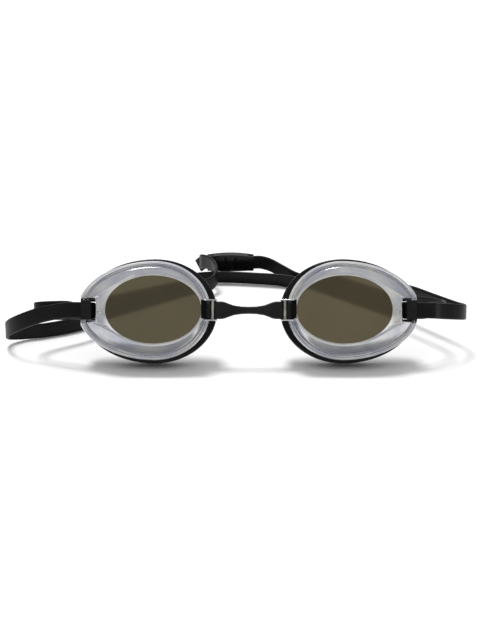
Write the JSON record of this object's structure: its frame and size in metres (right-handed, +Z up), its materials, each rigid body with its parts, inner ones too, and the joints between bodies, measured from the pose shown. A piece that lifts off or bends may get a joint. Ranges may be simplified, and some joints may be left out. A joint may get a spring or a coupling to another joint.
{
  "type": "swim goggles",
  "caption": "Racing swim goggles with mirrored oval lens cups, soft black eye gaskets, a slim nose bridge and a double silicone head strap with a rear buckle.",
  "frame": {"origin": "centre of the nose bridge's middle section, at the level of the cups' flange plane", "axes": "+X sideways along the pair of cups, +Z up from the table, the lens fronts face -Y and lean back 24 degrees"},
  "size_m": [0.1903, 0.1339, 0.0412],
  "materials": {
    "mirror_lens": "mirror-coated polycarbonate, silver bevel and bronze-olive window",
    "gasket_silicone": "glossy soft silicone",
    "bridge_plastic": "satin",
    "keeper_plastic": "gloss",
    "buckle_plastic": "gloss",
    "strap_silicone": "satin with fine lengthwise ribs"
  },
  "bodies": {
    "root": {"nose_bridge": "bridge_plastic", "strap_lower_run": "strap_silicone", "strap_upper_run": "strap_silicone", "strap_tail": "strap_silicone", "left_strap_outer": "strap_silicone", "left_strap_inner": "strap_silicone", "right_strap_outer": "strap_silicone", "right_strap_inner": "strap_silicone"},
    "left_cup": {"left_lens_cup": "mirror_lens", "left_gasket": "gasket_silicone", "left_strap_keeper": "keeper_plastic"},
    "right_cup": {"right_lens_cup": "mirror_lens", "right_gasket": "gasket_silicone", "right_strap_keeper": "keeper_plastic"},
    "buckle": {"rear_buckle": "buckle_plastic"}
  },
  "joints": [
    {"name": "left_cup_swivel", "type": "hinge", "parent": "root", "child": "left_cup", "pos_m": [-0.0144, -0.0011, 0.00049], "axis": [0, -0.4067, -0.9135], "range_deg": [-8, 18], "deforming": ["left_strap_outer", "left_strap_inner"]},
    {"name": "right_cup_swivel", "type": "hinge", "parent": "root", "child": "right_cup", "pos_m": [0.0144, -0.0011, 0.00049], "axis": [0, 0.4067, 0.9135], "range_deg": [-8, 18], "deforming": ["right_strap_outer", "right_strap_inner"]},
    {"name": "buckle_slide", "type": "slide", "parent": "root", "child": "buckle", "axis": [1, 0, 0], "range_m": [0, 0.003]}
  ]
}
